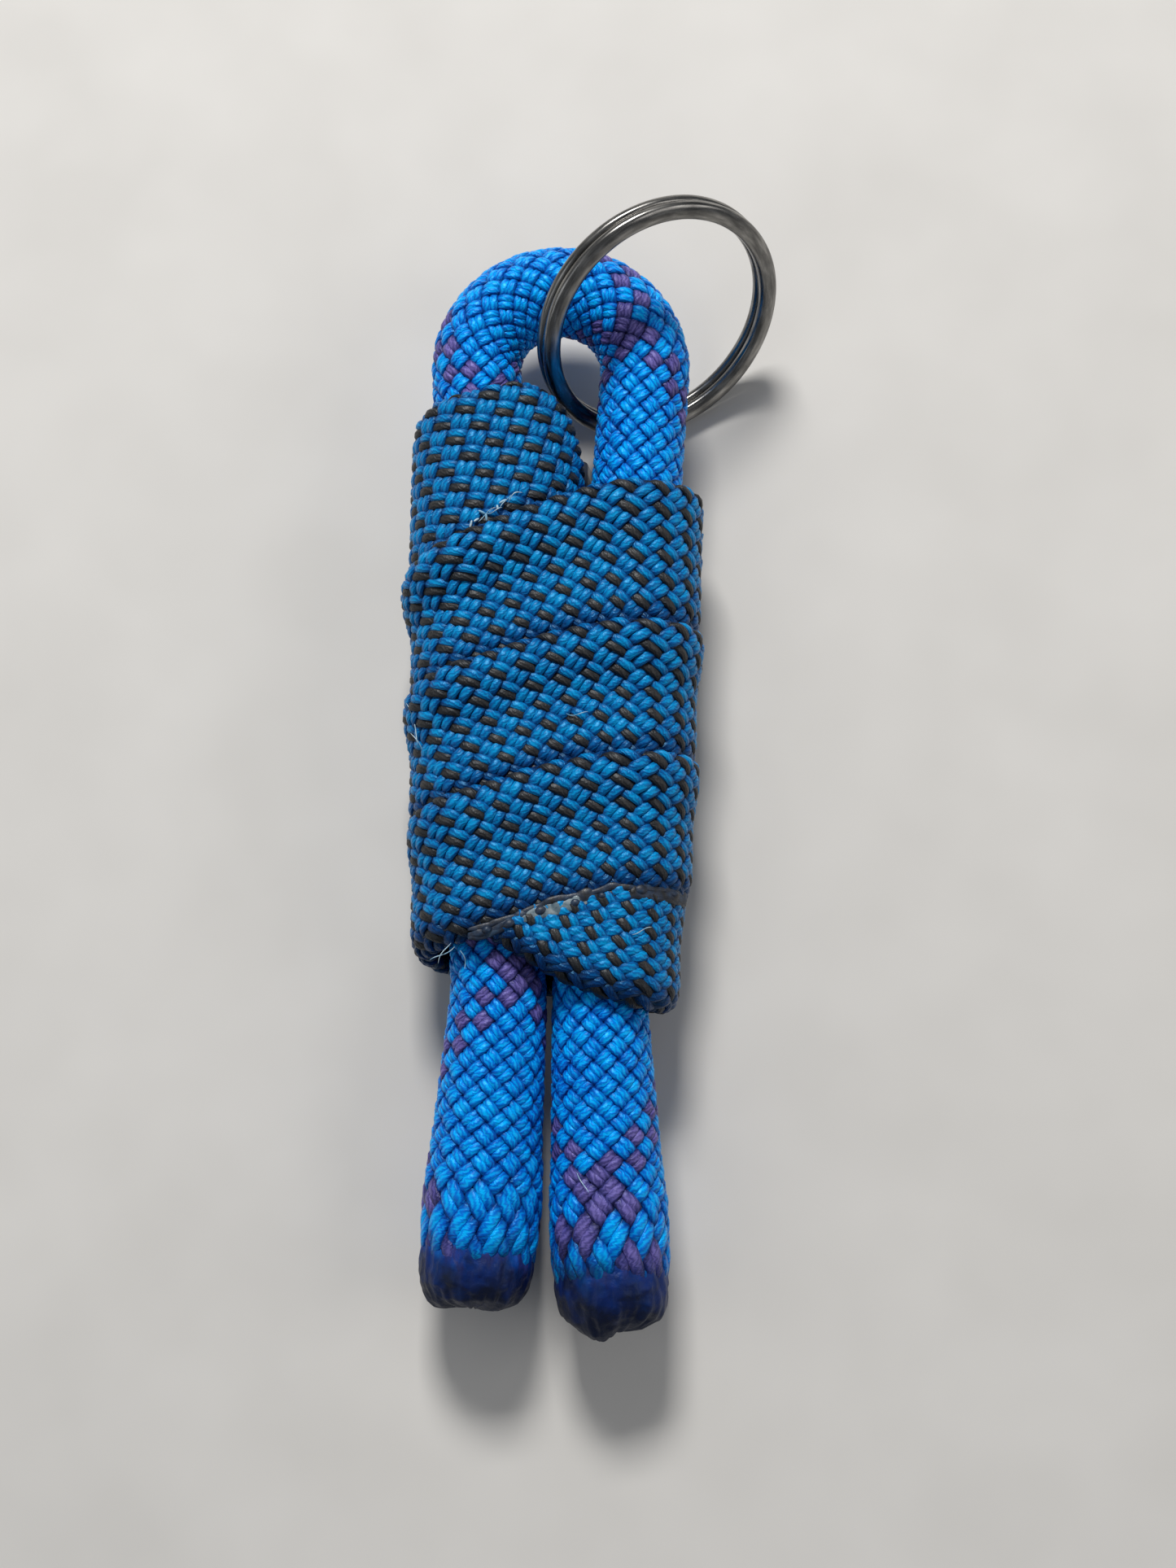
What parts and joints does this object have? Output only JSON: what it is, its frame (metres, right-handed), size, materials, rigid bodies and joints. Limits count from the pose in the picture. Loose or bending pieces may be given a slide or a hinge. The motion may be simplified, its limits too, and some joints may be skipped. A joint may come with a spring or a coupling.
{
  "type": "rope key fob with split ring",
  "caption": "Key fob of folded climbing rope with an eye, legs bound by a flattened braided sleeve, tails melted off, and a steel split ring through the eye.",
  "frame": {"origin": "centre of the rope eye, on the rope's mid-plane", "axes": "+Y along the fob from the tails to the eye, +X to the right seen from the front, +Z out of the front face"},
  "size_m": [0.0423, 0.1248, 0.0263],
  "materials": {
    "rope_weave": "azure nylon braid with violet tracer yarns",
    "core_yarn": "undyed twisted nylon",
    "fused_nylon": "melted and hardened nylon",
    "sleeve_weave": "blue nylon braid with charcoal tracer yarns",
    "ring_steel": "nickel-plated spring steel"
  },
  "bodies": {
    "fob": {"rope_sheath": "rope_weave", "core_strand_01": "core_yarn", "core_strand_02": "core_yarn", "core_strand_03": "core_yarn", "core_strand_04": "core_yarn", "core_strand_05": "core_yarn", "core_strand_06": "core_yarn", "core_strand_07": "core_yarn", "core_strand_08": "core_yarn", "core_strand_09": "core_yarn", "core_strand_10": "core_yarn", "core_strand_11": "core_yarn", "core_strand_12": "core_yarn", "sealed_end_left": "fused_nylon", "sealed_end_right": "fused_nylon", "wrap_sleeve": "sleeve_weave", "sleeve_cut_edge": "fused_nylon"},
    "ring": {"split_ring": "ring_steel"}
  },
  "joints": [
    {"name": "ring_swing", "type": "hinge", "parent": "fob", "child": "ring", "pos_m": [0.0097, 0, 0], "axis": [0, 1, 0], "range_deg": [-18, 118]}
  ]
}
